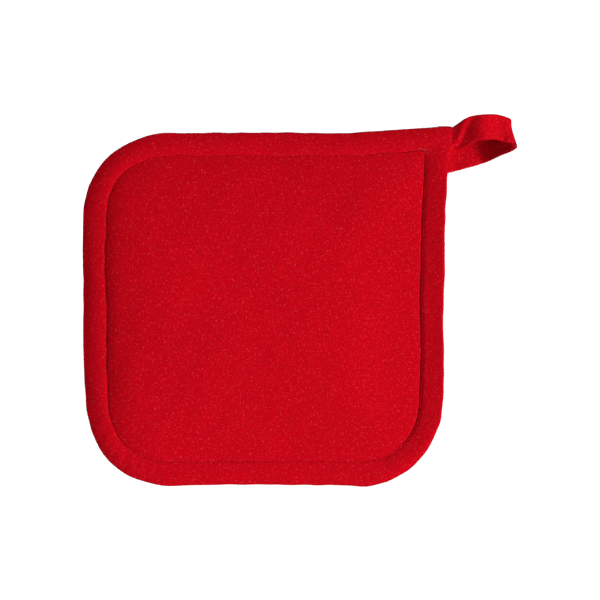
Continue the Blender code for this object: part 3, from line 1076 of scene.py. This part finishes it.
def cotton(name, colour, turned=0.0):
    """Dyed cotton canvas: uneven yarns, flecks of painted highlight on the fuzz, painted shade between the
    yarns and in pits, and a soft nap.
    """
    graph = Graph(name)
    cloth = graph.add("ShaderNodeUVMap", uv_map="cloth")
    if turned:
        inputs = {"Vector": cloth, "Angle": turned}
        cloth = graph.add("ShaderNodeVectorRotate", inputs, rotation_type="Z_AXIS")
    flat = graph.vector("MULTIPLY", cloth, (1.0, 1.0, 0.0))
    weave = weave_height(graph, cloth)
    warp = streaks(graph, cloth, YARN_THICKNESS, YARN_EVENNESS)
    weft = streaks(graph, cloth, YARN_EVENNESS, YARN_THICKNESS)
    grain = graph.noise(flat, GRAIN_SCALE, 3.0, 0.65)
    fade = graph.noise(flat, FADE_SCALE, 3.0, 0.5)
    fuzz_highlight = painted_fuzz_highlights(graph, cloth)

    # Each pattern's gain, and its level at zero.
    shades = ((warp, 0.52, 0.74), (weft, 0.42, 0.79), (grain, 1.4, 0.3), (fade, 0.16, 0.92))
    # The colour is darker in the weave's hollows and lighter on its crowns: painted shade between the yarns.
    level = graph.scaled(weave, 0.22, 0.84)
    for pattern, gain, base in shades:
        level = graph.math("MULTIPLY", level, graph.scaled(pattern, gain, base))
    # Where the grain is lowest the colour is darkened: painted shade in pits between the yarns.
    painted_pit_shade = graph.band(grain, 0.42, 0.30)
    level = graph.math("SUBTRACT", level, graph.math("MULTIPLY", painted_pit_shade, 0.10))
    # The flecks' paler pink is painted highlight, where fuzz catches the light.
    pale = (colour[0] * 1.4, colour[1] + 0.030, colour[2] + 0.046)
    fuzz_highlight_share = graph.math("MULTIPLY", fuzz_highlight, FUZZ_HIGHLIGHT_MIX)
    dyed = graph.blend(fuzz_highlight_share, graph.shaded(colour, level), (*pale, 1.0))

    relief = weave
    for pattern in (fuzz_highlight, grain, warp):
        relief = graph.scaled(pattern, 0.5, relief)
    bump = graph.add("ShaderNodeBump", {"Strength": 0.6, "Distance": CLOTH_RELIEF, "Height": relief})
    rough = graph.scaled(weave, -0.12, 0.96)
    sheen = {"Sheen Weight": 0.08, "Sheen Roughness": 0.5, "Sheen Tint": (1.0, 0.05, 0.09, 1.0)}
    gloss = {"Roughness": rough, "Specular IOR Level": 0.04, "IOR": 1.45}
    return graph.finished({"Base Color": dyed, "Normal": bump, **gloss, **sheen})


def thread_finish(name, colour):
    """Twisted sewing thread: fine slanting plies and a little more gloss than the cloth."""
    graph = Graph(name)
    cloth = graph.add("ShaderNodeUVMap", uv_map="cloth")
    along, around = graph.parts(cloth)
    slant = graph.scaled(along, 9000.0, graph.math("MULTIPLY", around, 5200.0))
    ply = graph.waves(slant)
    fibre = graph.noise(cloth, 2600.0, 2.0)
    # The colour is darker in the grooves between the plies: painted shade.
    level = graph.math("MULTIPLY", graph.scaled(ply, 0.3, 0.75), graph.scaled(fibre, 0.3, 0.85))
    bump = graph.add("ShaderNodeBump", {"Strength": 0.5, "Distance": 0.04 * MM, "Height": ply})
    sheen = {"Sheen Weight": 0.05, "Sheen Tint": (1.0, 0.1, 0.12, 1.0)}
    gloss = {"Roughness": 0.6, "Specular IOR Level": 0.08}
    return graph.finished({"Base Color": graph.shaded(colour, level), "Normal": bump, **gloss, **sheen})


def batting(name):
    """White cotton wadding: tangled soft fibres."""
    graph = Graph(name)
    spot = graph.add("ShaderNodeTexCoord", output=3)
    tangle = graph.noise(spot, 900.0, 5.0, 0.7)
    clump = graph.noise(spot, 90.0, 3.0, 0.5)
    level = graph.scaled(tangle, 0.25, graph.scaled(clump, 0.15, 0.68))
    bump = graph.add("ShaderNodeBump", {"Strength": 0.8, "Distance": 0.3 * MM, "Height": tangle})
    gloss = {"Roughness": 1.0, "Specular IOR Level": 0.1, "Sheen Weight": 0.3}
    return graph.finished({"Base Color": graph.shaded(WADDING_WHITE, level), "Normal": bump, **gloss})


def paper(name):
    """The plain pale floor."""
    gloss = {"Roughness": 0.9, "Specular IOR Level": 0.1}
    return Graph(name).finished({"Base Color": (*PAPER_WHITE, 1.0), **gloss})


# ---- build the pieces

panel_cloth = cotton("panel_cloth", RED)
tape_cloth = cotton("tape_cloth", RED, turned=math.radians(45))
loop_cloth = cotton("loop_cloth", RED)
seam_thread = thread_finish("seam_thread", SHADED_SEAM_THREAD_RED)
edge_thread = thread_finish("edge_thread", EDGE_THREAD_RED)
end_thread = thread_finish("end_thread", LOOSE_THREAD_RED)
fill = batting("fill")

front_cloth = layer("front_cloth", front_top, raised(front_top, -CLOTH), panel_cloth, "panel_cotton")
back_cloth = layer("back_cloth", raised(back_bottom, CLOTH), back_bottom, panel_cloth, "panel_cotton")
within, half_gap = CLOTH + LAYER_GAP, LAYER_GAP / 2
front_fill = layer("front_fill", raised(front_top, -within), raised(middle_height, half_gap), fill, "wadding")
back_fill = layer("back_fill", raised(middle_height, -half_gap), raised(back_bottom, within), fill, "wadding")
edge = bound_edge(tape_cloth)
front_seam = threads("front_seam_stitches", stitches(*seam_path(1), STITCH_PITCH, 71), seam_thread)
back_seam = threads("back_seam_stitches", stitches(*seam_path(-1), STITCH_PITCH, 72), seam_thread)
tape = loop_tape(loop_cloth)
outer_stitches = loop_stitches("loop_outer_stitches", 1, edge_thread)
inner_stitches = loop_stitches("loop_inner_stitches", -1, edge_thread)
tail = loop_tail(loop_cloth)
tail_sewing = tail_stitches(seam_thread)
ends = thread_ends(end_thread)

for made, node in (
    (front_cloth, "front_panel"),
    (back_cloth, "back_panel"),
    (front_fill, "front_wadding"),
    (back_fill, "back_wadding"),
    (edge, "edge_binding"),
    (front_seam, "binding_needle_thread"),
    (back_seam, "binding_bobbin_thread"),
    (tape, "hanging_loop"),
    (outer_stitches, "loop_needle_thread"),
    (inner_stitches, "loop_bobbin_thread"),
    (tail, "loop_end_tab"),
    (tail_sewing, "tab_thread"),
):
    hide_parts(node)

for made in (front_cloth, back_cloth, front_fill, back_fill, front_seam, back_seam, tail, tail_sewing, ends):
    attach(made, "pad")

for made in (edge, tape, outer_stitches, inner_stitches):
    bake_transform(made)


# ---- floor, lights and camera

FLOOR_HALF = 1.5
FLOOR_DROP = 0.05 * MM
PAD_MIDDLE = (0.01, 0.0, 0.005)
KEY_ELEVATION = math.radians(35)
KEY_AZIMUTH = math.radians(-16)  # from +X, turned towards the foot of the pad
KEY_DISTANCE = 5.0
FAINT_LIGHT = 0.06
CAMERA_OVER = (0.0187, 0.0050)  # the point of the plan that the picture is centred on
CAMERA_HEIGHT = 1.2
FRAME_WIDTH = 0.3156
SENSOR_WIDTH = 36.0


def area_light(name, place, target, size, power, receivers):
    """A soft square lamp that points at target and lights only the receivers."""
    lamp = bpy.data.lights.new(name, "AREA")
    lamp.shape = "SQUARE"
    lamp.size = size
    lamp.energy = power
    holder = placed(name, lamp)
    holder.location = place
    holder.rotation_euler = (Vector(target) - Vector(place)).to_track_quat("-Z", "Y").to_euler()
    lit = bpy.data.collections.new(name + "_lit")
    for each in receivers:
        lit.objects.link(each)
    holder.light_linking.receiver_collection = lit
    holder.visible_camera = False


def floor_sheet():
    """A plain square floor under the pad, which throws no light back onto it."""
    mesh = bpy.data.meshes.new("floor")
    corners = [(x * FLOOR_HALF, y * FLOOR_HALF, 0) for x, y in ((-1, -1), (1, -1), (1, 1), (-1, 1))]
    mesh.from_pydata(corners, [], [(0, 1, 2, 3)])
    floor = placed("floor", mesh)
    floor.location.z = -FLOOR_DROP
    mesh.materials.append(paper("floor_paper"))
    floor.visible_diffuse = False
    floor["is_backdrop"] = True
    return floor


def add_world():
    """A faint even light, and a white backdrop behind everything, which adds none."""
    world = bpy.data.worlds.new("studio")
    world.use_nodes = True
    tree = world.node_tree
    faint, white = tree.nodes["Background"], tree.nodes.new("ShaderNodeBackground")
    for background, strength in ((faint, FAINT_LIGHT), (white, 1.0)):
        background.inputs["Color"].default_value = (1.0, 1.0, 1.0, 1.0)
        background.inputs["Strength"].default_value = strength
    seen = tree.nodes.new("ShaderNodeLightPath").outputs["Is Camera Ray"]
    both = tree.nodes.new("ShaderNodeMixShader")
    tree.links.new(seen, both.inputs[0])
    tree.links.new(faint.outputs[0], both.inputs[1])
    tree.links.new(white.outputs[0], both.inputs[2])
    tree.links.new(both.outputs[0], tree.nodes["World Output"].inputs["Surface"])
    bpy.context.scene.world = world


def add_camera():
    """A camera straight above the pad, as the photograph's was."""
    data = bpy.data.cameras.new("camera")
    data.sensor_width = SENSOR_WIDTH
    data.lens = SENSOR_WIDTH * CAMERA_HEIGHT / FRAME_WIDTH
    camera = placed("camera", data)
    camera.location = (*CAMERA_OVER, CAMERA_HEIGHT)
    bpy.context.scene.camera = camera


floor = floor_sheet()
key_place = (
    PAD_MIDDLE[0] + KEY_DISTANCE * math.cos(KEY_ELEVATION) * math.cos(KEY_AZIMUTH),
    PAD_MIDDLE[1] + KEY_DISTANCE * math.cos(KEY_ELEVATION) * math.sin(KEY_AZIMUTH),
    KEY_DISTANCE * math.sin(KEY_ELEVATION),
)
area_light("key", key_place, PAD_MIDDLE, size=1.1, power=272.0, receivers=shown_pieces())
area_light("overhead", (-0.03, -0.12, 0.6), (-0.02, -0.06, 0), size=0.3, power=1.15, receivers=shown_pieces())
area_light("floor_lamp", (0.0, 0.0, 2.2), (0, 0, 0), size=2.0, power=120.0, receivers=[floor])
add_world()
add_camera()
bpy.context.scene.view_settings.view_transform = "Standard"
